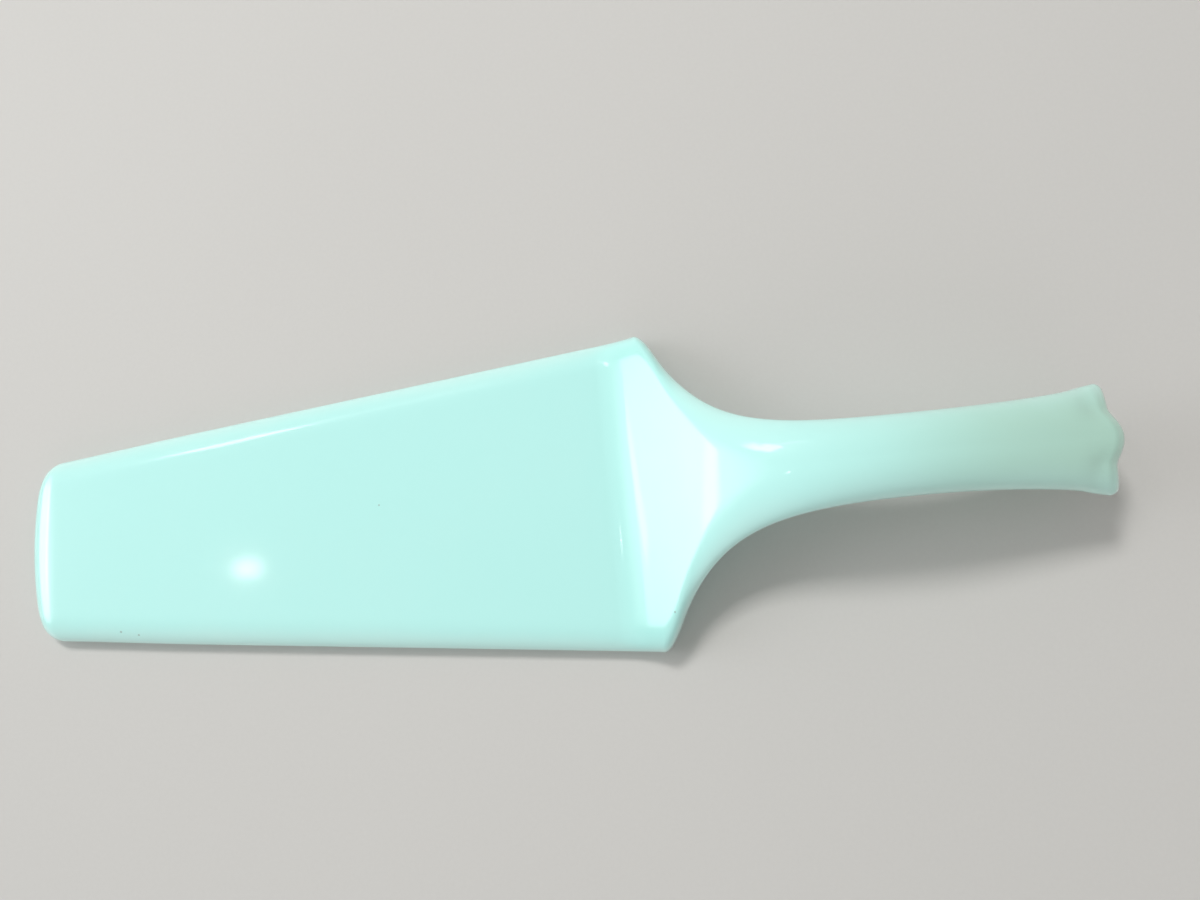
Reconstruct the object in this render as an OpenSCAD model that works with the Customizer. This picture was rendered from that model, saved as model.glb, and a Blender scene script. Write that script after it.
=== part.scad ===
// Porcelain counting shovel: a tapered flat blade, a shoulder that climbs from its heel and
// draws in to a neck, and an arched oval handle whose end has a middle lobe. Lengths in mm.
// X runs from the blade to the handle, Z is up, and the blade rests on Z = 0.
// The origin is on the table, under the middle of the whole length.

/* [Overall] */
// Length from the tip of the blade to the end of the handle
overall_l = 250; // [225:1:280]

/* [Blade] */
// Length of the blade from its tip to the heel corners
blade_l = 152; // [130:1:160]
// Width across the heel corners
heel_w = 73.4; // [62:0.2:80]
// Width across the tip, before its corners are rounded
tip_w = 42.4; // [36:0.2:54]
// How far the middle of the tip stands forward of its corners
tip_bow = 2.6; // [1:0.2:5]
// Radius of the tip corners in plan
tip_corner_r = 5; // [3:0.5:7]
// Thickness of the plate
plate_t = 6; // [5:0.5:7]
// Height of the widest line of the rolled edge above the table
edge_h = 2.2; // [1.5:0.1:3]
// Width of the rolled band along each side
side_roll = 6.5; // [4:0.5:7]
// Width of the rolled band in the middle of the tip
tip_roll = 7.4; // [5:0.2:8]
// Width of the narrow roll under the edge
under_roll = 3; // [2:0.5:4]

/* [Shoulder] */
// Where the top starts to climb, ahead of the heel corners
ramp_lead = 12; // [8:1:16]
// Where the underside leaves the table, ahead of the heel corners
lift_lead = 5; // [3:0.5:8]
// Angle of the slope behind the heel
ramp_angle = 32; // [28:1:36]
// Height of the top of the slope, at slope_at behind the heel
slope_h = 17; // [15:0.5:18]
// Distance from the heel to the middle of the slope
slope_at = 9; // [8:0.5:11]
// Upright thickness of the porcelain at the middle of the slope
slope_t = 8.5; // [7.5:0.5:10]
// Length over which the width falls away behind the heel
flare_l = 10.5; // [8:0.5:13]
// How softly the heel corners are rounded in plan
heel_soft = 7; // [3:0.5:8]

/* [Handle] */
// Width at the waist of the handle
waist_w = 16.4; // [14:0.2:20]
// Height of the top of the arch above the table
crest_h = 29.5; // [27:0.5:32]
// Distance from the heel to the top of the arch
crest_at = 50; // [46:1:58]
// Thickness at the top of the arch
crest_t = 11.8; // [10:0.2:14]
// Height of the top of the handle at its end
end_h = 19.5; // [17:0.5:24]
// Thickness of the handle at its end
end_t = 11; // [9:0.5:13]
// Downward slope of the handle at its end, in degrees
end_angle = 16; // [8:1:20]

/* [Handle end] */
// Extra half width that the end flares out to
end_flare = 4.1; // [3:0.1:5]
// How far the middle lobe stands out past the corners beside it
lobe_out = 2.2; // [1:0.1:3]
// Width of the middle lobe at its foot
lobe_w = 10.8; // [9:0.2:12]
// Radius in plan of the two corners beside the lobe
end_corner_r = 2; // [1:0.25:3]
// Depth of the two valleys beside the lobe, above and below
valley_d = 0.2; // [0.1:0.1:0.6]
// Length over which the lobe and its valleys rise out of the plain handle
lobe_l = 13; // [9:1:16]
// Length of the rounding at the very end
end_roll = 4; // [2.5:0.5:5]

/* [Hidden] */

glaze = "#c4f0e6";
tip_x = -overall_l / 2;
end_x = overall_l / 2;
heel_x = tip_x + blade_l;
grip_l = end_x - heel_x;

// The luted joints between the four formed sections, ahead of and behind the heel
blade_joint_x = heel_x - ramp_lead - 2;
neck_joint_x = heel_x + 27;
end_joint_x = end_x - lobe_l;

// The clay is pressed this far past the table and trimmed off flat
trim = 0.5;
// Behind the heel, the edge has lifted after lift_run and the section is oval after oval_run
lift_run = 10;
oval_run = 30;
// How far back from the tip its bow fades out
bow_run = 40;
// Steps around one rolled quarter and across the flat of a section
roll_n = 8;
flat_n = 8;
// Share of the half width that stays flat even on the oval handle
least_flat = 0.08;
// The rolled band of the tip is never narrower than this
least_roll = 1;
// Half width of a valley beside the lobe
valley_w = 1.8;
// Angle left out at the tip and at the handle end, which leaves a narrow blunt face on each
blunt = 12;
// Angle between the stations of the rolled tip, and of the rolled handle end
tip_turn = 13;
end_turn = 15;
// Sharpness of the flare at the end of the handle
flare_power = 5;

function mix(a, b, t) = a + (b - a) * t;
function unit(t) = min(1, max(0, t));
function ease(t) = let (u = unit(t)) u * u * (3 - 2 * u);

// A curve from (x0, z0) with slope m0 to (x1, z1) with slope m1
function bend(x, x0, z0, m0, x1, z1, m1) =
    let (l = x1 - x0, t = (x - x0) / l)
    z0 * (2 * t * t * t - 3 * t * t + 1) + m0 * l * (t * t * t - 2 * t * t + t)
    + z1 * (3 * t * t - 2 * t * t * t) + m1 * l * (t * t * t - t * t);

// The lower of two values, with a soft corner of size k between them
function soft_min(a, b, k) =
    let (h = unit(0.5 + 0.5 * (b - a) / k)) mix(b, a, h) - k * h * (1 - h);

// Half width in plan: the straight taper of the blade, then the falling flare of the shoulder
function taper(x) = mix(tip_w, heel_w, (x - tip_x) / blade_l) / 2;
function flare(x) =
    waist_w / 2 + (heel_w - waist_w) / 2 * exp((heel_x - x) / flare_l)
    + (x > heel_x ? end_flare * pow((x - heel_x) / grip_l, flare_power) : 0);
function half_w(x) = soft_min(taper(x), flare(max(x, heel_x - flare_l)), heel_soft);

// Top and bottom of the section at x
function top_z(x) =
    let (x1 = heel_x + slope_at, x2 = heel_x + crest_at)
    x < heel_x - ramp_lead ? plate_t
    : x < x1 ? bend(x, heel_x - ramp_lead, plate_t, 0, x1, slope_h, tan(ramp_angle))
    : x < x2 ? bend(x, x1, slope_h, tan(ramp_angle), x2, crest_h, 0)
    : bend(x, x2, crest_h, 0, end_x, end_h, -tan(end_angle));
function under_z(x) =
    let (
        x0 = heel_x - lift_lead,
        x1 = heel_x + slope_at,
        x2 = heel_x + crest_at,
        z1 = slope_h - slope_t)
    x < x0 ? -trim
    : x < x1 ? bend(x, x0, -trim, 0, x1, z1, tan(ramp_angle))
    : x < x2 ? bend(x, x1, z1, tan(ramp_angle), x2, crest_h - crest_t, 0)
    : bend(x, x2, crest_h - crest_t, 0, end_x, end_h - end_t, -tan(end_angle));

// Height of the widest line: low on the blade, halfway up on the handle
function wide_z(x) =
    let (s = ease((x - heel_x + ramp_lead) / (ramp_lead + lift_run)))
    mix(edge_h, (top_z(x) + under_z(x)) / 2, s);

// One outline of the section as [side of the flat, sideways, upwards], the top from +Y to -Y
// first and then the bottom back again
function arch(sign) = concat(
    [for (k = [0:roll_n]) [1, cos(90 * k / roll_n), sign * sin(90 * k / roll_n)]],
    [for (m = [1:flat_n - 1]) [1 - 2 * m / flat_n, 0, sign]],
    [for (k = [roll_n:-1:0]) [-1, -cos(90 * k / roll_n), sign * sin(90 * k / roll_n)]]);
over = arch(1);
under = arch(-1);
half_n = len(over);
section = concat(over, [for (i = [half_n - 2:-1:1]) under[i]]);
ring_n = len(section);

// Where a point of the section at x lies across the width, which is less by narrow on each side.
// What is rolled is a narrow band on the blade, and all but least_flat on the handle
function section_y(p, x, narrow) =
    let (
        w = half_w(x) - narrow,
        band = mix(p[2] >= 0 ? side_roll : under_roll, w, ease((x - heel_x) / oval_run)),
        roll = min(band, w * (1 - least_flat)))
    p[0] * (w - roll) + p[1] * roll;

// Its height, from the widest line towards the top or the bottom by the share tall
function section_z(p, x, tall) =
    wide_z(x) + tall * p[2] * (p[2] >= 0 ? top_z(x) - wide_z(x) : wide_z(x) - under_z(x));

// Height of a quarter circle at the share t of its width
function quarter_round(t) = sqrt(max(0, 1 - pow(1 - unit(t), 2)));

// The tip: its corners are rounded in plan, and its middle stands forward by tip_bow. The rolled
// band starts on a straight line across the blade, so the bow makes it widest in the middle
function tip_point(p, u) =
    let (
        x = tip_x + u,
        y = section_y(p, x, tip_corner_r * (1 - quarter_round(u / tip_corner_r))),
        bow = tip_bow * pow(2 * y / tip_w, 2),
        tall = quarter_round(u / max(least_roll, tip_roll - bow)))
    [x + bow * (1 - ease(u / bow_run)), y, section_z(p, x, tall)];

// The middle lobe across the width, 1 in the middle and 0 beyond its two feet
function lobe(y) = abs(y) < lobe_w / 2 ? cos(180 * y / lobe_w) : 0;
// The valleys at the two feet of the lobe
function valley(y) = exp(-pow((abs(y) - lobe_w / 2) / valley_w, 2));

// The end of the handle: it thins to a rounding, and only the lobe reaches the full length
function end_point(p, u) =
    let (
        x = min(u, end_x - lobe_out),
        tall = quarter_round((end_x - u) / end_roll),
        corner = quarter_round((end_x - u) / end_corner_r),
        y = section_y(p, x, end_corner_r * (1 - corner)),
        grow = ease((u - end_joint_x) / (lobe_l - end_roll)),
        dip = valley_d * valley(y) * pow(grow, 3) * tall * p[2])
    [u - lobe_out * grow * (1 - lobe(y)), y, section_z(p, x, tall) - dip];

// Faces between neighbouring rings, and the two ends closed across from top to bottom
function skin(rings) = [
    for (i = [0:rings - 2]) for (j = [0:ring_n - 1])
        let (
            a = i * ring_n + j,
            b = i * ring_n + (j + 1) % ring_n)
        each [[a, b, b + ring_n], [a, b + ring_n, a + ring_n]]];
function lid(base, flip) = [
    for (i = [0:half_n - 2])
        let (
            a = base + i,
            b = base + i + 1,
            c = base + (ring_n - i - 1) % ring_n,
            d = base + (ring_n - i) % ring_n)
        for (t = [[a, b, c], [a, c, d]])
            if (t[0] != t[1] && t[1] != t[2] && t[0] != t[2])
                flip ? [t[2], t[1], t[0]] : t];

module sweep_rings(rings) {
    n = len(rings);
    polyhedron(
        points = [for (r = rings) each r],
        faces = concat(skin(n), lid(0, true), lid((n - 1) * ring_n, false)),
        convexity = 4);
}

// Trims what is below the table, which leaves one flat resting face
module trim_flat() {
    difference() {
        children();
        translate([tip_x - 10, -heel_w, -10])
            cube([overall_l + 20, 2 * heel_w, 10]);
    }
}

// Evenly spaced stations from a to b
function stations(a, b, n) = [for (i = [0:n]) mix(a, b, i / n)];

// The whole section at x, neither narrowed nor thinned
function plain_ring(x) = [for (p = section) [x, section_y(p, x, 0), section_z(p, x, 1)]];

// Flat tapered plate with rolled sides and tip
module blade() {
    roll = [for (a = [blunt:tip_turn:90]) tip_roll * (1 - cos(a))];
    rest = stations(tip_roll + 2, blade_joint_x - tip_x, 12);
    color(glaze)
        trim_flat()
            sweep_rings([for (u = concat(roll, rest)) [for (p = section) tip_point(p, u)]]);
}

// Wedge that climbs from the heel of the blade and draws in to the neck
module shoulder() {
    color(glaze)
        trim_flat()
            sweep_rings([for (x = stations(blade_joint_x, neck_joint_x, 27)) plain_ring(x)]);
}

// Arched oval grip
module handle() {
    color(glaze)
        sweep_rings([for (x = stations(neck_joint_x, end_joint_x, 18)) plain_ring(x)]);
}

// End of the grip, with its middle lobe
module handle_end() {
    body = stations(end_joint_x, end_x - end_roll, 6);
    round = [for (a = [end_turn:end_turn:90 - blunt]) end_x - end_roll + end_roll * sin(a)];
    color(glaze)
        sweep_rings([for (u = concat(body, round)) [for (p = section) end_point(p, u)]]);
}

blade();
shoulder();
handle();
handle_end();
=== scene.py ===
"""Porcelain counting shovel: mint glazed blade, shoulder, arched handle and its lobed end.

Lengths are in metres. X runs from the blade to the handle, Z is up, and the blade rests on Z = 0.
"""

import math

import bpy
import numpy as np
from bpy.props import FloatProperty, FloatVectorProperty, IntProperty, PointerProperty
from mathutils import Matrix, Quaternion, Vector


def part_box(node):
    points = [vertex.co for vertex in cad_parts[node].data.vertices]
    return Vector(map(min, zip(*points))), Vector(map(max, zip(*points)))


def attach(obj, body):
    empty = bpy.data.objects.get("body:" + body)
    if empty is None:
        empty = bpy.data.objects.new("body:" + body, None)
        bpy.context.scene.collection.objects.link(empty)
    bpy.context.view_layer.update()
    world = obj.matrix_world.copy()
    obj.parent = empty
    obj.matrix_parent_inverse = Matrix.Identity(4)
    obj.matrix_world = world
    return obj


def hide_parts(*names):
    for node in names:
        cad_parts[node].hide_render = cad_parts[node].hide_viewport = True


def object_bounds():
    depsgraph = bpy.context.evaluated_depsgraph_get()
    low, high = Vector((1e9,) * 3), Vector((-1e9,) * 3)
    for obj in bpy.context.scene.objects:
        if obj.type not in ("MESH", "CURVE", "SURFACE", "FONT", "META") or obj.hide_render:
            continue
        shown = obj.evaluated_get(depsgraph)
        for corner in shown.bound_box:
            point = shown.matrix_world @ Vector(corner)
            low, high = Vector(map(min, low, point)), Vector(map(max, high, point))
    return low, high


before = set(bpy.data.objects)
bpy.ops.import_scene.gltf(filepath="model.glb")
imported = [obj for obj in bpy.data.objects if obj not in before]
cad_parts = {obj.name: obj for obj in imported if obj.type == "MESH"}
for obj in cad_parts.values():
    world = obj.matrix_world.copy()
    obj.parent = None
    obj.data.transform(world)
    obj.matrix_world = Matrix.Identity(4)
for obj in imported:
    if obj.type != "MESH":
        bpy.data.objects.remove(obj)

bl_info = {
    "name": "Porcelain Counting Shovel",
    "version": (1, 0, 0),
    "blender": (4, 5, 0),
    "location": "View3D > Sidebar > Porcelain",
    "description": "Builds a one-piece glazed porcelain counting shovel and the studio around it",
    "category": "Add Mesh",
}

CAD_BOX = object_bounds()
SECTIONS = ("blade", "shoulder", "handle", "handle_end")
GLAZE = "mint_glazed_porcelain"
MM = 0.001


# ---------------------------------------------------------------- what a user would change


def length(name, description, millimetres):
    """A length property, given in millimetres and kept in metres."""
    return FloatProperty(
        name=name, description=description, default=millimetres * MM, unit="LENGTH",
        subtype="DISTANCE", min=0.0, precision=4,
    )


def angle(name, description, degrees):
    """An angle property, given in degrees and kept in radians."""
    return FloatProperty(
        name=name, description=description, default=math.radians(degrees), subtype="ANGLE"
    )


def share(name, description, value):
    """A property between 0 and 1."""
    return FloatProperty(
        name=name, description=description, default=value, min=0.0, max=1.0, subtype="FACTOR"
    )


def colour(name, description, rgb):
    """A colour property in linear light."""
    return FloatVectorProperty(
        name=name, description=description, default=rgb, size=3, min=0.0, max=1.0, subtype="COLOR"
    )


def place(name, description, millimetres):
    """A position property, given in millimetres and kept in metres."""
    return FloatVectorProperty(
        name=name, description=description, default=[v * MM for v in millimetres], size=3,
        subtype="TRANSLATION", unit="LENGTH", precision=4,
    )


class ShovelForm(bpy.types.PropertyGroup):
    """Sizes of the porcelain body"""

    blade_l: length("Blade length", "From the tip to the heel corners", 152)
    heel_w: length("Heel width", "Across the heel corners", 73.4)
    tip_w: length("Tip width", "Across the tip before its corners are rounded", 42.4)
    tip_bow: length("Tip bow", "How far the middle of the tip stands forward", 2.6)
    tip_corner_r: length("Tip corner radius", "Radius of the tip corners in plan", 5)
    plate_t: length("Plate thickness", "Thickness of the flat blade", 6)
    edge_h: length("Edge height", "Height of the widest line of the rolled edge", 2.2)
    side_roll: length("Side roll", "Width of the rolled band along each side", 6.5)
    tip_roll: length("Tip roll", "Width of the rolled band in the middle of the tip", 7.4)
    under_roll: length("Under roll", "Width of the narrow roll under the edge", 3)
    ramp_lead: length("Ramp lead", "Where the top starts to climb, ahead of the heel", 12)
    lift_lead: length("Lift lead", "Where the underside leaves the table, ahead of the heel", 5)
    ramp_angle: angle("Ramp angle", "Slope behind the heel", 32)
    slope_h: length("Slope height", "Height of the top in the middle of the slope", 17)
    slope_at: length("Slope middle", "Distance from the heel to the middle of the slope", 9)
    slope_t: length("Slope thickness", "Upright thickness in the middle of the slope", 8.5)
    flare_l: length("Flare length", "Length over which the width falls away", 10.5)
    heel_soft: length("Heel softness", "How softly the heel corners are rounded", 7)
    waist_w: length("Waist width", "Width at the waist of the handle", 16.4)
    crest_at: length("Crest place", "Distance from the heel to the top of the arch", 50)
    crest_t: length("Crest thickness", "Thickness at the top of the arch", 11.8)
    end_h: length("End height", "Height of the top of the handle at its end", 19.5)
    end_t: length("End thickness", "Thickness of the handle at its end", 11)
    end_angle: angle("End angle", "Downward slope of the handle at its end", 16)
    end_flare: length("End flare", "Extra half width at the end", 4.1)
    lobe_out: length("Lobe reach", "How far the middle lobe stands out", 2.2)
    lobe_w: length("Lobe width", "Width of the middle lobe at its foot", 10.8)
    end_corner_r: length("End corner radius", "Radius in plan of the corners beside the lobe", 2)
    valley_d: length("Valley depth", "Depth of the valleys beside the lobe", 0.2)
    end_roll: length("End roll", "Length of the rounding at the very end", 4)
    press_d: length("Press marks", "Height of the slow unevenness of the pressed clay", 0.05)
    roll_steps: IntProperty(
        name="Roll steps", description="Faces around one rolled quarter", default=16, min=4
    )
    flat_steps: IntProperty(
        name="Flat steps", description="Faces across the flat of a section", default=36, min=4
    )


class GlazeFinish(bpy.types.PropertyGroup):
    """Colours, gloss and fine patterns of the fired porcelain, and a painted shade toward the end
    of the handle
    """

    usual: colour("Glaze", "Mint glaze at its usual thickness", (0.505, 0.92, 0.88))
    # Painted shade: a darker, less blue colour blended in toward the end of the handle, where the
    # handle slopes away from the light
    painted_end_shade: colour("Grip glaze", "Glaze toward the end of the handle", (0.48, 0.76, 0.65))
    pooled: colour("Pooled glaze", "Glaze that ran thick in the crease", (0.45, 0.88, 0.83))
    thin: colour("Thin glaze", "Glaze drawn thin over an edge", (0.59, 0.92, 0.88))
    bare: colour("Bare porcelain", "Wiped clay of the resting face", (0.78, 0.76, 0.70))
    speck: colour("Speck", "Iron speck in the glaze", (0.16, 0.19, 0.16))
    base_roughness: share("Body gloss", "Roughness under the clear top of the glaze", 0.32)
    coat_roughness: share("Top gloss", "Roughness of the clear top of the glaze", 0.08)
    cloud_size: length("Cloud size", "Width of the slow shifts of tint", 55)
    mottle_size: length("Mottle size", "Width of the small shifts of tint and gloss", 7)
    wave_size: length("Wave size", "Width of the slow waves in the glaze", 16)
    wave_h: length("Wave height", "Height of the slow waves in the glaze", 0.020)
    peel_size: length("Orange peel size", "Width of the fine unevenness in the glaze", 1.6)
    peel_h: length("Orange peel height", "Height of the fine unevenness in the glaze", 0.0016)
    dot_r: length("Dot radius", "Radius of the pinholes and of the scattered faint specks", 0.16)
    pinhole_gap: length("Pinhole spacing", "Spacing of the cells that may hold a pinhole", 9)
    pinhole_d: length("Pinhole depth", "Depth of a pinhole, and of the grit in the foot", 0.02)
    speck_gap: length("Speck spacing", "Spacing of the cells that may hold a faint speck", 17)
    foot_h: length("Foot height", "Height below which the glaze is wiped off the clay", 0.22)


class StudioSetup(bpy.types.PropertyGroup):
    """Camera, floor and lights"""

    floor: colour("Floor", "Pale paper under the shovel", (0.62, 0.61, 0.595))
    floor_w: length("Floor width", "Side of the square of paper", 8000)
    floor_gap: length("Floor gap", "Depth of the paper below the resting face", 0.02)
    camera_at: place("Camera", "Place of the camera", (31.96, -22.28, 217.51))
    look_at: place("Aim", "Point on the table that the camera looks at", (14.47, 11.16, 0))
    roll: angle("Roll", "Turn of the camera about its own line of sight", 5.34)
    lens: FloatProperty(
        name="Lens", description="Focal length on a 36 mm wide sensor", default=28.08,
        unit="CAMERA",
    )
    room: colour("Room", "Tint of the light that the room throws back", (1.0, 0.98, 0.94))
    ambient: share("Ambient", "Brightness of the room around the table", 0.43)


# ---------------------------------------------------------------- form of the porcelain


def mix(a, b, t):
    """The value a share t of the way from a to b."""
    return a + (b - a) * t


def unit(t):
    """t held between 0 and 1."""
    return np.clip(t, 0.0, 1.0)


def ease(t):
    """Smooth step: three t squared less two t cubed, with t held between 0 and 1."""
    u = unit(t)
    return u * u * (3 - 2 * u)


def bend(x, start, end):
    """Cubic Hermite curve between two stations, each given as place, height and slope."""
    (x0, z0, m0), (x1, z1, m1) = start, end
    span = x1 - x0
    t = (x - x0) / span
    rise = 3 * t**2 - 2 * t**3
    return mix(z0, z1, rise) + span * (m0 * (t**3 - 2 * t**2 + t) + m1 * (t**3 - t**2))


def soft_min(a, b, size):
    """The lower of a and b, with a parabola of the given size across the corner."""
    h = unit(0.5 + 0.5 * (b - a) / size)
    return mix(b, a, h) - size * h * (1 - h)


def quarter_round(t):
    """Height of a quarter circle at the share t of its width: root of 1 - (1 - t) squared."""
    return np.sqrt(np.maximum(0, 1 - (1 - unit(t)) ** 2))


def weighted_tangent(back, ahead):
    """Direction of a grid line: the two unit steps beside a point, each weighted by the length
    of the other, so that uneven spacing doesn't tip it. No step counts as shorter than tiny."""
    tiny = 1e-9
    b = np.maximum(np.linalg.norm(back, axis=-1, keepdims=True), tiny)
    a = np.maximum(np.linalg.norm(ahead, axis=-1, keepdims=True), tiny)
    return back / b * a + ahead / a * b


class Porcelain:
    """The whole body as one grid: stations along its length by points around its section.

    A section is a flat with a quarter ellipse rolled off at each side, above and below. Its half
    width, top, bottom and widest height are curves along X: the rolls are narrow bands on the
    blade and take in the whole width on the handle.
    """

    least_flat = 0.08  # share of a half width that stays flat on the oval handle
    least_roll = 1 * MM  # width that the rolled band of the tip never falls below
    valley_w = 1.8 * MM  # half width of a valley beside the lobe
    trim = 0.5 * MM  # depth of the section below the table, cut away by the flat foot
    foot_soft = 0.3 * MM  # rounding of the edge of the foot
    lift_run = 10 * MM  # length behind the heel over which the widest line comes to halfway up
    oval_run = 30 * MM  # length behind the heel over which the section becomes an oval
    bow_run = 40 * MM  # length behind the tip over which the bow dies out
    flare_power = 5  # how late the handle widens toward its end
    lobe_soft = 0.1  # softening of the lobe's feet, as a share of its reach
    turn_stations = 25  # stations over the rolled tip, and over the rolled end
    run_stations = (100, 110, 80, 30)  # stations between the two, section by section
    flat_depth = 0.5  # depth of the glaze on the flats, where 1 is pooled
    handle_thinning = 0.5  # how much the glaze draws thin on the handle, where the blade has 1
    crease_at = 0.35  # place of the crease ahead of the heel, as a share of ramp_lead
    crease_w = 0.5  # half width of the crease, as a share of ramp_lead

    def __init__(self, form):
        self.form = form
        self.tip_x, self.end_x = CAD_BOX[0].x, CAD_BOX[1].x
        self.crest_h = CAD_BOX[1].z
        self.heel_x = self.tip_x + form.blade_l
        self.joints = [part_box(name)[0].x for name in SECTIONS[1:]]
        self.over, self.under = self.section_outline()
        self.up = np.concatenate([self.over[:, 2], self.under[:, 2]])[None, :]
        self.stations, self.rows = self.lay_out_stations()
        self.points = self.surface()
        self.normals = self.grid_normals()
        self.glaze = self.glaze_depth()

    def section_outline(self):
        """Ring points as (side of the flat, sideways, upwards): cosine and sine over each rolled
        quarter and even steps across each flat, the top from +Y to -Y and the bottom back."""
        turn = np.linspace(0, math.pi / 2, self.form.roll_steps + 1)
        across = np.linspace(1, -1, self.form.flat_steps + 1)[1:-1]
        side = np.concatenate([turn * 0 + 1, across, turn * 0 - 1])
        out = np.concatenate([np.cos(turn), across * 0, -np.sin(turn)])
        up = np.concatenate([np.sin(turn), across * 0 + 1, np.cos(turn)])
        top = np.stack([side, out, up], 1)
        return top, (top * [1, 1, -1])[-2:0:-1]

    def lay_out_stations(self):
        """Places along X: a quarter turn's cosines over the rolled tip and its sines over the
        rolled end, even steps between them, and one station on each joint."""
        form = self.form
        quarter = np.linspace(0, math.pi / 2, self.turn_stations)
        tip = self.tip_x + form.tip_roll * (1 - np.cos(quarter))
        last = self.end_x - form.end_roll
        marks = [tip[-1], *self.joints, last]
        spans = zip(marks[:-1], marks[1:], self.run_stations)
        runs = [np.linspace(start, stop, count)[1:] for start, stop, count in spans]
        end = last + form.end_roll * np.sin(quarter)
        x = np.concatenate([tip, *runs, end[1:]])
        cuts = [0, *[int(np.argmin(abs(x - joint))) for joint in self.joints], len(x) - 1]
        return x[:, None], {n: (a, b + 1) for n, a, b in zip(SECTIONS, cuts[:-1], cuts[1:])}

    def half_width(self, x):
        """The straight taper of the blade met by a falling exponential behind the heel, with a
        power curve that widens the end of the handle."""
        form = self.form
        taper = mix(form.tip_w, form.heel_w, (x - self.tip_x) / form.blade_l) / 2
        behind = np.maximum(x, self.heel_x - form.flare_l)
        fall = np.exp((self.heel_x - behind) / form.flare_l) * (form.heel_w - form.waist_w) / 2
        along = unit((x - self.heel_x) / (self.end_x - self.heel_x))
        flare = form.waist_w / 2 + fall + form.end_flare * along**self.flare_power
        return soft_min(taper, flare, form.heel_soft)

    def side_curve(self, x, lead, flat_h, drops):
        """Side view: flat, then cubics up the slope, over the crest and down to the end, each
        lowered by the thickness given for that station."""
        form = self.form
        start = (self.heel_x - lead, flat_h, 0.0)
        slope = (self.heel_x + form.slope_at, form.slope_h - drops[0], math.tan(form.ramp_angle))
        crest = (self.heel_x + form.crest_at, self.crest_h - drops[1], 0.0)
        end = (self.end_x, form.end_h - drops[2], -math.tan(form.end_angle))
        z = np.where(x < crest[0], bend(x, slope, crest), bend(x, crest, end))
        z = np.where(x < slope[0], bend(x, start, slope), z)
        return np.where(x < start[0], flat_h, z)

    def heights(self, x):
        """Top, bottom and widest height, which rises to halfway as the underside lifts."""
        form = self.form
        top = self.side_curve(x, form.ramp_lead, form.plate_t, (0, 0, 0))
        drops = (form.slope_t, form.crest_t, form.end_t)
        low = self.side_curve(x, form.lift_lead, -self.trim, drops)
        lift = ease((x - self.heel_x + form.ramp_lead) / (form.ramp_lead + self.lift_run))
        return top, low, mix(form.edge_h, (top + low) / 2, lift)

    def across(self, x, narrow):
        """Y of every ring point: the flat's half width plus the roll's cosine."""
        form = self.form
        width = self.half_width(x) - narrow
        oval = ease((x - self.heel_x) / self.oval_run)
        rows = []
        for outline, band in ((self.over, form.side_roll), (self.under, form.under_roll)):
            roll = np.minimum(width * (1 - self.least_flat), mix(band, width, oval))
            rows.append(outline[None, :, 0] * (width - roll) + outline[None, :, 1] * roll)
        return np.concatenate(rows, 1)

    def lobe(self, y):
        """The middle lobe across the width: a cosine, 1 in the middle and 0 beyond its two feet,
        which are softened as hyperbolas."""
        across = np.minimum(abs(y) / self.form.lobe_w, 1)
        wave, soft = np.cos(math.pi * across), self.lobe_soft
        lifted = (wave + np.sqrt(wave**2 + soft**2)) / 2
        return lifted / lifted.max()

    def valley(self, y):
        """The valleys at the two feet of the lobe, each a bell curve across the width."""
        return np.exp(-(((abs(y) - self.form.lobe_w / 2) / self.valley_w) ** 2))

    def press_marks(self, x, y):
        """Slow unevenness of hand-pressed clay: the mean of four crossing sine waves, each given
        by its two wavelengths and its start."""
        waves = ((0.075, 0.13, 0.3), (-0.12, 0.085, 1.9), (0.046, -0.24, 4.0), (0.2, 0.05, 2.6))
        total = sum(np.sin(2 * math.pi * (x / a + y / b) + start) for a, b, start in waves)
        return total / len(waves)

    def surface(self):
        """Every grid point. The tip and the end close as quarter ellipses, and their corners are
        quarter circles in plan. The tip's ellipse starts on a straight line across the blade, so
        the bow makes it widest in the middle. At the end only the lobe reaches the full length,
        with a valley sunk at each side of it."""
        form = self.form
        x = self.stations
        from_tip, to_end = x - self.tip_x, self.end_x - x
        body_x = np.minimum(x, self.end_x - form.lobe_out)
        end_tall = quarter_round(to_end / form.end_roll)
        narrow = sum(
            radius * (1 - quarter_round(away / radius))
            for radius, away in ((form.tip_corner_r, from_tip), (form.end_corner_r, to_end))
        )
        y = self.across(body_x, narrow)
        bow = form.tip_bow * (2 * y / form.tip_w) ** 2
        tip_tall = quarter_round(from_tip / np.maximum(form.tip_roll - bow, self.least_roll))
        top, low, wide = self.heights(body_x)
        reach = np.where(self.up > 0, top - wide, wide - low)
        grow = ease((x - self.joints[-1]) / (self.end_x - self.joints[-1] - form.end_roll))
        dip = form.valley_d * self.valley(y) * grow**3 * end_tall
        press = form.press_d * self.press_marks(x, y) * unit(from_tip / form.plate_t)
        z = wide + self.up * (reach * tip_tall * end_tall - dip + press)
        z = -soft_min(-z, z * 0, self.foot_soft)
        held_back = bow * (1 - ease(from_tip / self.bow_run))
        drawn_in = form.lobe_out * grow * (1 - self.lobe(y))
        return self.fit_to_box(np.stack([x + held_back - drawn_in, y, z], -1))

    def fit_to_box(self, points):
        """Width and height scaled about the origin, by less than a thousandth, so that the grid
        has exactly the height and width of the frame's box."""
        most = points.reshape(-1, 3).max(0)
        return points * [1, CAD_BOX[1].y / most[1], CAD_BOX[1].z / most[2]]

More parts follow.
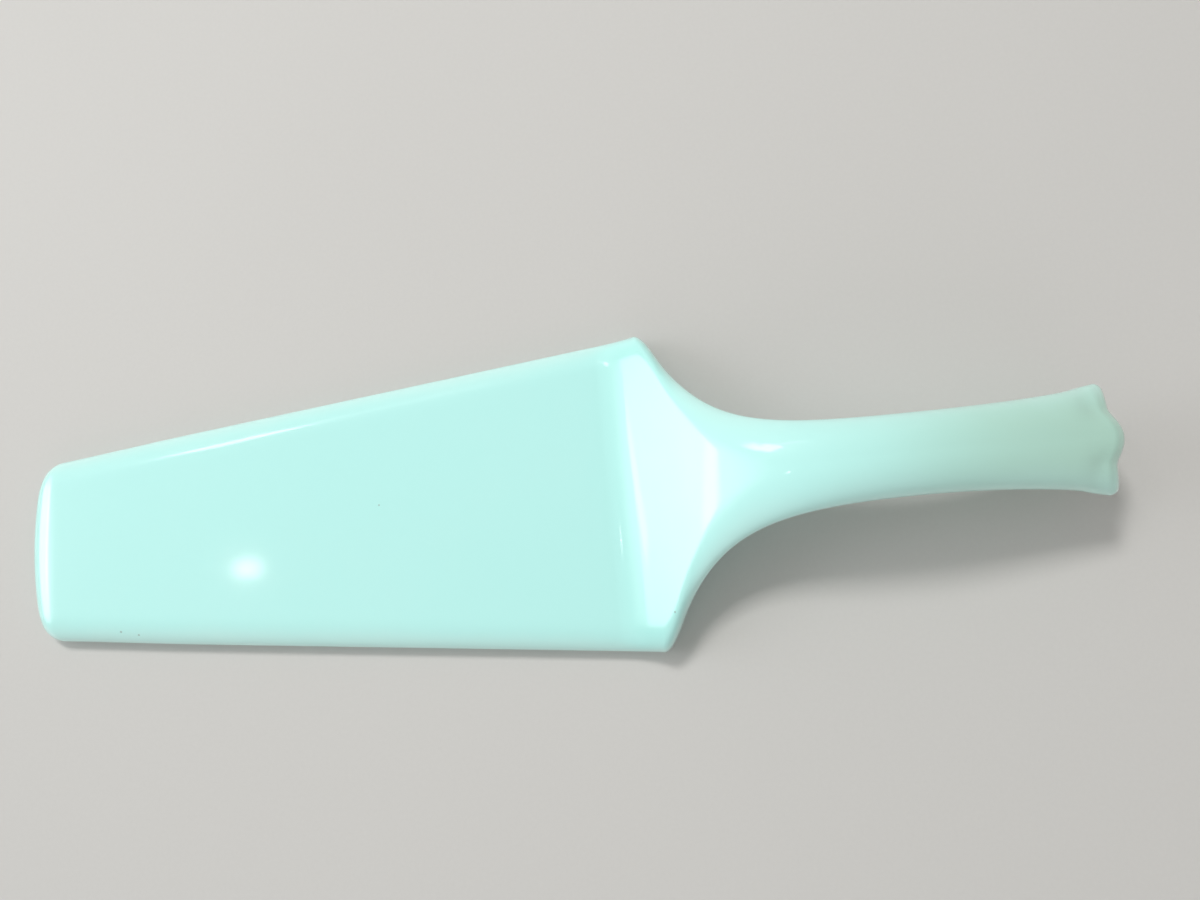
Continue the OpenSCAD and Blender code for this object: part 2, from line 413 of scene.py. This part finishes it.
    def grid_normals(self):
        """Unit normals: the cross product of the tangents around and along. The closed tip and
        end are lines, whose normals lie flat and square to the line."""
        p = self.points
        steps = np.diff(p, axis=0)
        along = weighted_tangent(
            np.concatenate([steps[:1], steps]), np.concatenate([steps, steps[-1:]])
        )
        around = weighted_tangent(p - np.roll(p, 1, 1), np.roll(p, -1, 1) - p)
        n = np.cross(around, along)
        for row, outwards in ((0, -1), (-1, 1)):
            slope = np.gradient(p[row, : len(self.over), 0], p[row, : len(self.over), 1])
            flat = np.stack([slope * 0 + outwards, -outwards * slope, slope * 0], -1)
            n[row, : len(flat)] = flat
            n[row, len(flat):] = flat[-2:0:-1]
        return n / np.linalg.norm(n, axis=-1, keepdims=True)

    def glaze_depth(self):
        """How thick the glaze lies, from 0, drawn thin, to 1, pooled. It draws thin around a roll
        by 1 less the cube of the share of the roll's height, and less so on the handle. It pools
        as a bell curve along the crease ahead of the heel and the hollow under the slope."""
        form = self.form
        behind_heel = self.stations - self.heel_x
        rolled = np.abs(self.up)
        blade = unit((self.oval_run - behind_heel) / self.oval_run)
        thin = np.where(rolled < 1, 1 - rolled**3, 0) * mix(self.handle_thinning, 1, blade)
        crease = (behind_heel + self.crease_at * form.ramp_lead) / (self.crease_w * form.ramp_lead)
        hollow = (behind_heel - form.slope_at) / form.slope_at
        pool = np.exp(-(crease**2)) * np.maximum(self.up, 0)
        pool = pool + np.exp(-(hollow**2)) * np.maximum(-self.up, 0)
        return np.broadcast_to(self.flat_depth * (1 - thin + pool), self.points.shape[:2])


def section_faces(body, name):
    """Quads and triangles of one closed section, as numbers of grid points, and how many quads
    its joint faces have. They come first, and close a joint straight across from the top to the
    bottom, with a triangle at each side. At the tip and the end the lower points of the grid are
    its upper ones."""
    first, last = body.rows[name]
    ring = body.points.shape[1]
    half = len(body.over)
    index = np.arange(first * ring, last * ring).reshape(-1, ring)
    mirror = np.where(np.arange(ring) < half, np.arange(ring), ring - np.arange(ring))
    ends = {0: first == 0, len(index) - 1: last == len(body.points)}
    quads, triangles = [], []
    for row, closes in ends.items():
        if closes:
            index[row] = index[row][mirror]
            continue
        top = index[row][:half]
        low = index[row][-np.arange(half)]
        lid = np.stack([top[1:-2], top[2:-1], low[2:-1], low[1:-2]], -1)
        caps = np.array([[top[0], top[1], low[1]], [top[-2], top[-1], low[-2]]])
        turn = slice(None, None, -1) if row == 0 else slice(None)
        quads.append(lid[:, turn])
        triangles.append(caps[:, turn])
    skin_a, skin_b = index[:-1], index[1:]
    skin = np.stack([skin_a, np.roll(skin_a, -1, 1), np.roll(skin_b, -1, 1), skin_b], -1)
    joint_quads = sum(len(lid) for lid in quads)
    quads = np.concatenate([*quads, skin.reshape(-1, 4)])
    return quads, np.concatenate(triangles), joint_quads


def add_section(body, name, material):
    """One section of the grid as a closed mesh. Its skin keeps the grid's own normals, so that
    the gloss runs on over the joints, and its joint faces are shaded flat."""
    quads, triangles, joint_quads = section_faces(body, name)
    used = np.unique(quads)
    quads, triangles = np.searchsorted(used, quads), np.searchsorted(used, triangles)

    mesh = bpy.data.meshes.new(name)
    points = body.points.reshape(-1, 3)[used]
    mesh.from_pydata(points, [], [*quads.tolist(), *triangles.tolist()])
    normals = body.normals.reshape(-1, 3)[used]
    smooth = np.concatenate([normals[quads].reshape(-1, 3), normals[triangles].reshape(-1, 3)])
    face_normals = np.zeros(3 * len(mesh.polygons))
    mesh.polygons.foreach_get("normal", face_normals)
    corners = np.repeat([4, 3], [len(quads), len(triangles)])
    flat = np.repeat(face_normals.reshape(-1, 3), corners, axis=0)
    joint_corners = 4 * joint_quads
    on_joint = np.repeat(
        [True, False, True], [joint_corners, quads.size - joint_corners, triangles.size]
    )
    mesh.polygons.foreach_set("use_smooth", [True] * len(mesh.polygons))
    mesh.normals_split_custom_set(np.where(on_joint[:, None], flat, smooth))
    depth = mesh.attributes.new("glaze_depth", "FLOAT", "POINT")
    depth.data.foreach_set("value", body.glaze.reshape(-1)[used].astype(np.float32))
    mesh.materials.append(material)
    piece = bpy.data.objects.new("glazed_" + name, mesh)
    bpy.context.scene.collection.objects.link(piece)
    return piece


# ---------------------------------------------------------------- glaze and paper


class Wire:
    """A value in a material. Operators on it add Math nodes."""

    def __init__(self, recipe, socket):
        self.recipe = recipe
        self.socket = socket

    def maths(self, operation, *values):
        """One Math node on the given values."""
        inputs = dict(enumerate(values))
        return self.recipe.add("ShaderNodeMath", {"operation": operation}, inputs)

    def __add__(self, other):
        return self.maths("ADD", self, other)

    def __sub__(self, other):
        return self.maths("SUBTRACT", self, other)

    def __mul__(self, other):
        return self.maths("MULTIPLY", self, other)

    def __lt__(self, other):
        return self.maths("LESS_THAN", self, other)

    def __rsub__(self, other):
        return self.maths("SUBTRACT", other, self)

    __radd__ = __add__
    __rmul__ = __mul__


class Recipe:
    """A procedural material, its shader and the nodes that feed it."""

    dot_core = 0.4  # share of a dot's radius that is solid

    def __init__(self, name):
        self.material = bpy.data.materials.new(name)
        self.material.use_nodes = True
        self.nodes = self.material.node_tree.nodes
        self.links = self.material.node_tree.links
        self.shader = self.nodes["Principled BSDF"]
        self.place = self.add("ShaderNodeTexCoord", {}, {}, "Object")

    def add(self, kind, settings, inputs, output=0):
        """Adds a node, makes its settings, then sets or links its inputs. Returns an output."""
        node = self.nodes.new(kind)
        for key, value in settings.items():
            setattr(node, key, value)
        for key, value in inputs.items():
            self.feed(self.find(node.inputs, key), value)
        return Wire(self, self.find(node.outputs, output))

    @staticmethod
    def find(sockets, key):
        """The socket with this number, or else this identifier or name."""
        if isinstance(key, int):
            return sockets[key]
        return next(s for s in sockets if key in (s.identifier, s.name))

    def feed(self, socket, value):
        """Links a wire to a socket, or sets a constant on it."""
        if isinstance(value, Wire):
            self.links.new(value.socket, socket)
        else:
            socket.default_value = value

    def finish(self, **inputs):
        """Feeds the shader's own sockets, named with _ for a space, and gives the material."""
        for key, value in inputs.items():
            self.feed(self.shader.inputs[key.replace("_", " ")], value)
        return self.material

    def noise(self, size, detail=2.0, shift=(0, 0, 0)):
        """Soft noise between 0 and 1 whose features are about this many metres wide."""
        moved = self.add("ShaderNodeVectorMath", {"operation": "ADD"}, {0: self.place, 1: shift})
        inputs = {"Vector": moved, "Scale": 1 / size, "Detail": detail}
        return self.add("ShaderNodeTexNoise", {"noise_dimensions": "3D"}, inputs)

    def ramp(self, value, low, high):
        """Smooth step from 0 where the value is low to 1 where it is high."""
        inputs = {"Value": value, "From Min": low, "From Max": high}
        return self.add("ShaderNodeMapRange", {"interpolation_type": "SMOOTHSTEP"}, inputs)

    def blend(self, share_of_b, a, b):
        """Mixes two colours."""
        inputs = {"Factor_Float": share_of_b, "A_Color": a, "B_Color": b}
        return self.add("ShaderNodeMix", {"data_type": "RGBA"}, inputs, "Result_Color")

    def dots(self, radius, spacing, share_kept):
        """Scattered round dots: 1 inside a dot of this radius, on a share of the cells of a
        Voronoi pattern with this spacing."""
        inputs = {"Vector": self.place, "Scale": 1 / spacing}
        cell = self.add("ShaderNodeTexVoronoi", {}, inputs, "Distance")
        chance = self.add("ShaderNodeTexVoronoi", {}, inputs, "Color")
        kept = self.add("ShaderNodeSeparateColor", {}, {"Color": chance}, "Red") < share_kept
        edge = radius / spacing
        return (1 - self.ramp(cell, self.dot_core * edge, edge)) * kept

    def spot(self, centre, radius):
        """One round dot at a chosen place, which is given in millimetres, like its radius."""
        inputs = {0: self.place, 1: [v * MM for v in centre]}
        away = self.add("ShaderNodeVectorMath", {"operation": "DISTANCE"}, inputs, "Value")
        return 1 - self.ramp(away, self.dot_core * radius * MM, radius * MM)


def rgba(rgb, light=1.0):
    """A property's colour, darkened to this share of its light, with its alpha."""
    return (*[light * c for c in rgb], 1.0)


# Iron specks fired into the glaze, each as its centre and radius in millimetres
SPECKS = (
    ((-101.5, -20.7, 5.3), 0.38),
    ((-97.3, -21.8, 5.0), 0.34),
    ((-37.6, 2.8, 6.0), 0.28),
    ((28.3, -27.6, 11.6), 0.36),
)


def glazed_porcelain(finish):
    """Mint glaze over porcelain: slow shifts of tint, thinner and paler over the rolled edges,
    pooled and deeper in the crease, painted shade that turns it darker and less blue toward the
    end of the handle, with fine waves, pinholes and specks, and a wiped foot."""
    r = Recipe(GLAZE)
    along = r.add("ShaderNodeSeparateXYZ", {}, {"Vector": r.place}, "X")
    height = r.add("ShaderNodeSeparateXYZ", {}, {"Vector": r.place}, "Z")
    clouds = r.noise(finish.cloud_size, 2.0)
    mottle = r.noise(finish.mottle_size, 3.0, (0.3, 0.1, 0.7))

    # Tint: paler where thin, deeper where pooled, and painted shade from the neck to the end,
    # darker and less blue
    neck_x, end_shade_full_x, wander = 45 * MM, 125 * MM, 30 * MM
    cloud_depth, mottle_depth = 0.30, 0.12
    depth = r.add("ShaderNodeAttribute", {"attribute_name": "glaze_depth"}, {}, "Fac")
    depth = depth + cloud_depth * (clouds - 0.5) + mottle_depth * (mottle - 0.5)
    # Painted shade: the glaze turns darker and less blue from the neck to the end of the handle
    painted_end_shade = r.ramp(along + wander * (clouds - 0.5), neck_x, end_shade_full_x)
    usual = r.blend(painted_end_shade, rgba(finish.usual), rgba(finish.painted_end_shade))
    tint = r.blend(r.ramp(depth, 0.0, 0.55), rgba(finish.thin), usual)
    tint = r.blend(r.ramp(depth, 0.5, 1.1), tint, rgba(finish.pooled))

    # Specks: the plain ones, each in its own place, and faint ones on a quarter of the cells
    speck_strength, share_specked = 0.45, 0.25
    specks = r.dots(finish.dot_r, finish.speck_gap, share_specked)
    for centre, radius in SPECKS:
        specks = specks + r.spot(centre, radius)
    specks = r.ramp(specks, 0.0, 1.0)
    tint = r.blend(specks * speck_strength, tint, rgba(finish.speck))

    # Foot: wiped clay up to a ragged line, speckled by its own grit
    fade, ragged_h, ragged_size, grit_size = 0.1 * MM, 0.5 * MM, 3 * MM, 0.35 * MM
    ragged = height + ragged_h * (r.noise(ragged_size, 2.0) - 0.5)
    foot = 1 - r.ramp(ragged, finish.foot_h - fade, finish.foot_h + fade)
    grit = r.noise(grit_size, 3.0)
    clay = r.blend(r.ramp(grit, 0.35, 0.75), rgba(finish.bare), rgba(finish.bare, 0.86))
    tint = r.blend(foot, tint, clay)

    # Gloss and relief: waves and orange peel in the glaze, pinholes, and the foot's own grit
    share_pinholed = 0.3
    gloss = finish.base_roughness + 0.10 * (mottle - 0.5) + 0.3 * foot + 0.1 * specks
    waves = finish.wave_h * r.noise(finish.wave_size, 1.0, (0.9, 0.4, 0.2))
    peel = finish.peel_h * r.noise(finish.peel_size, 2.0)
    pinholes = r.dots(finish.dot_r, finish.pinhole_gap, share_pinholed)
    relief = (waves + peel) * (1 - foot) - finish.pinhole_d * pinholes
    relief = relief + finish.pinhole_d * foot * grit
    bump = r.add("ShaderNodeBump", {}, {"Strength": 1.0, "Distance": 1.0, "Height": relief})
    return r.finish(
        Base_Color=tint, Roughness=gloss, Normal=bump, Coat_Weight=1 - foot, IOR=1.5,
        Coat_Roughness=finish.coat_roughness, Coat_IOR=1.52,
    )


def pale_paper(studio):
    """Matt pale paper with a fine tooth and faint clouds."""
    cloud_size, tooth_size, tooth_h = 220 * MM, 0.9 * MM, 0.03 * MM
    r = Recipe("pale_paper")
    cloud = r.noise(cloud_size, 2.0)
    tooth = r.noise(tooth_size, 3.0)
    shade = r.ramp(0.6 * cloud + 0.4 * tooth, 0.2, 0.8)
    tint = r.blend(shade, rgba(studio.floor, 0.96), rgba(studio.floor))
    relief = {"Strength": 0.4, "Distance": 1.0, "Height": tooth_h * tooth}
    bump = r.add("ShaderNodeBump", {}, relief)
    return r.finish(Base_Color=tint, Roughness=0.85, Normal=bump)


# ---------------------------------------------------------------- studio


# Tints of the lights, as factors on their radiance
DAYLIGHT = (0.93, 1.0, 1.03)
LAMPLIGHT = (1.0, 0.99, 0.97)

# The lights: bearings, tilts and spreads in degrees, distances and sizes in metres. The windows
# and lamps are mirrored in the glaze. The key, which throws the shadow, and the fill aren't.
LIGHTS = {
    "window": dict(
        bearing=(172, 24), distance=1.0, size=(0.70, 0.46), radiance=4.1, tint=DAYLIGHT, spread=60
    ),
    "window_glow": dict(
        bearing=(172, 40), distance=1.0, size=(0.50, 0.50), radiance=2.0, tint=DAYLIGHT, spread=30
    ),
    "window_sky": dict(
        bearing=(172, 34), distance=1.0, size=(0.22, 0.075), radiance=2.9, tint=DAYLIGHT, tilt=-30
    ),
    "lamp": dict(
        bearing=(174.3, 61.7), distance=1.54, size=(0.016, 0.040), radiance=27.0, tint=LAMPLIGHT
    ),
    "far_lamp": dict(
        bearing=(140, 50), distance=1.2, size=(0.20, 0.12), radiance=7.0, tint=LAMPLIGHT
    ),
    "far_window": dict(
        bearing=(121, 50), distance=1.2, size=(0.30, 0.06), radiance=1.8, tint=DAYLIGHT
    ),
    "key": dict(
        bearing=(109, 54), distance=1.2, size=(0.26, 0.22), radiance=38.0, tint=LAMPLIGHT,
        mirrored=False,
    ),
    "near_fill": dict(
        bearing=(-95, 25), distance=1.5, size=(1.4, 0.7), radiance=0.8, tint=DAYLIGHT,
        mirrored=False,
    ),
}


def lay_floor(studio):
    """A square of paper, as a grid of two by two points just under the resting face."""
    half = studio.floor_w / 2
    u, v = np.meshgrid([-half, half], [-half, half])
    points = np.stack([u, v, u * 0 - studio.floor_gap], -1).reshape(-1, 3)
    mesh = bpy.data.meshes.new("paper_floor")
    mesh.from_pydata(points, [], [[0, 1, 3, 2]])
    mesh.materials.append(pale_paper(studio))
    floor = bpy.data.objects.new("paper_floor", mesh)
    bpy.context.scene.collection.objects.link(floor)


def hang_light(name, bearing, distance, size, radiance, tint, tilt=0, spread=180, mirrored=True):
    """A rectangular soft light that faces the middle of the table. Its bearing is its azimuth
    from +X and its elevation, and its tilt turns it about its own axis. Its power is its radiance
    times its area times pi, divided by what a narrowed spread gathers toward the axis: with a as
    half the spread, tan a over (tan a - a)."""
    lamp = bpy.data.lights.new(name, "AREA")
    lamp.shape = "RECTANGLE"
    lamp.size, lamp.size_y = size
    half = math.radians(spread / 2)
    gathered = math.tan(half) / (math.tan(half) - half) if spread < 180 else 1
    lamp.energy = radiance * size[0] * size[1] * math.pi / gathered
    lamp.spread = 2 * half
    lamp.color = tint
    light = bpy.data.objects.new(name, lamp)
    azimuth, elevation = map(math.radians, bearing)
    level = math.cos(elevation)
    towards = Vector((level * math.cos(azimuth), level * math.sin(azimuth), math.sin(elevation)))
    facing = (-towards).to_track_quat("-Z", "Y")
    light.location = towards * distance
    light.rotation_mode = "QUATERNION"
    light.rotation_quaternion = facing @ Quaternion((0, 0, 1), math.radians(tilt))
    light.visible_glossy = mirrored
    bpy.context.scene.collection.objects.link(light)


def place_camera(studio):
    """The camera from its place, its aim and its roll about the line of sight."""
    data = bpy.data.cameras.new("camera")
    data.lens, data.sensor_width = studio.lens, 36.0
    data.clip_start, data.clip_end = 0.01, 20.0
    camera = bpy.data.objects.new("camera", data)
    ahead = (Vector(studio.look_at) - Vector(studio.camera_at)).normalized()
    side = ahead.cross(Vector((0, 1, 0))).normalized()
    turn = Matrix((side, side.cross(ahead), -ahead)).transposed()
    turn = turn @ Matrix.Rotation(-studio.roll, 3, "Z")
    camera.matrix_world = Matrix.Translation(studio.camera_at) @ turn.to_4x4()
    bpy.context.scene.collection.objects.link(camera)
    bpy.context.scene.camera = camera


def fill_room(studio):
    """An even pale room around the table."""
    world = bpy.data.worlds.new("pale_room")
    world.use_nodes = True
    background = world.node_tree.nodes["Background"]
    background.inputs["Color"].default_value = rgba(studio.room)
    background.inputs["Strength"].default_value = studio.ambient
    bpy.context.scene.world = world


# ---------------------------------------------------------------- operators


def build(context, name):
    """Builds one section of the porcelain and puts it in its node's place. The glaze is made
    with the first one."""
    scene = context.scene
    glaze = bpy.data.materials.get(GLAZE) or glazed_porcelain(scene.shovel_finish)
    piece = add_section(Porcelain(scene.shovel_form), name, glaze)
    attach(piece, "root")
    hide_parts(name)
    return {"FINISHED"}


class PORCELAIN_OT_stage(bpy.types.Operator):
    """Lay the pale floor, hang the lights and place the camera"""

    bl_idname = "porcelain.stage"
    bl_label = "Studio"

    def execute(self, context):
        studio = context.scene.shovel_studio
        context.scene.view_settings.view_transform = "Standard"
        place_camera(studio)
        lay_floor(studio)
        fill_room(studio)
        for name, settings in LIGHTS.items():
            hang_light(name, **settings)
        return {"FINISHED"}


class PORCELAIN_OT_blade(bpy.types.Operator):
    """Build the flat tapered blade with its rolled edges"""

    bl_idname = "porcelain.blade"
    bl_label = "Blade"

    def execute(self, context):
        return build(context, "blade")


class PORCELAIN_OT_shoulder(bpy.types.Operator):
    """Build the shoulder that climbs from the heel and draws in to the neck"""

    bl_idname = "porcelain.shoulder"
    bl_label = "Shoulder"

    def execute(self, context):
        return build(context, "shoulder")


class PORCELAIN_OT_handle(bpy.types.Operator):
    """Build the arched oval handle"""

    bl_idname = "porcelain.handle"
    bl_label = "Handle"

    def execute(self, context):
        return build(context, "handle")


class PORCELAIN_OT_handle_end(bpy.types.Operator):
    """Build the end of the handle with its middle lobe"""

    bl_idname = "porcelain.handle_end"
    bl_label = "Handle end"

    def execute(self, context):
        return build(context, "handle_end")


OPERATORS = (
    PORCELAIN_OT_stage,
    PORCELAIN_OT_blade,
    PORCELAIN_OT_shoulder,
    PORCELAIN_OT_handle,
    PORCELAIN_OT_handle_end,
)
GROUPS = {"shovel_form": ShovelForm, "shovel_finish": GlazeFinish, "shovel_studio": StudioSetup}


class VIEW3D_PT_porcelain(bpy.types.Panel):
    """Lists the sections, the studio and their settings"""

    bl_label = "Porcelain Shovel"
    bl_space_type = "VIEW_3D"
    bl_region_type = "UI"
    bl_category = "Porcelain"

    def draw(self, context):
        column = self.layout.column()
        for operator in OPERATORS:
            column.operator(operator.bl_idname, text=operator.bl_label)
        for key, group in GROUPS.items():
            box = self.layout.box()
            for name in group.__annotations__:
                box.prop(getattr(context.scene, key), name)


def register():
    """Registers the settings, the operators and the panel."""
    for cls in (*GROUPS.values(), *OPERATORS, VIEW3D_PT_porcelain):
        bpy.utils.register_class(cls)
    for key, group in GROUPS.items():
        setattr(bpy.types.Scene, key, PointerProperty(type=group))


def unregister():
    """Takes them away again."""
    for key in GROUPS:
        delattr(bpy.types.Scene, key)
    for cls in (VIEW3D_PT_porcelain, *reversed(OPERATORS), *reversed(GROUPS.values())):
        bpy.utils.unregister_class(cls)


def main():
    """Builds the studio and the four sections."""
    register()
    bpy.ops.porcelain.stage()
    bpy.ops.porcelain.blade()
    bpy.ops.porcelain.shoulder()
    bpy.ops.porcelain.handle()
    bpy.ops.porcelain.handle_end()


if __name__ == "__main__":
    main()
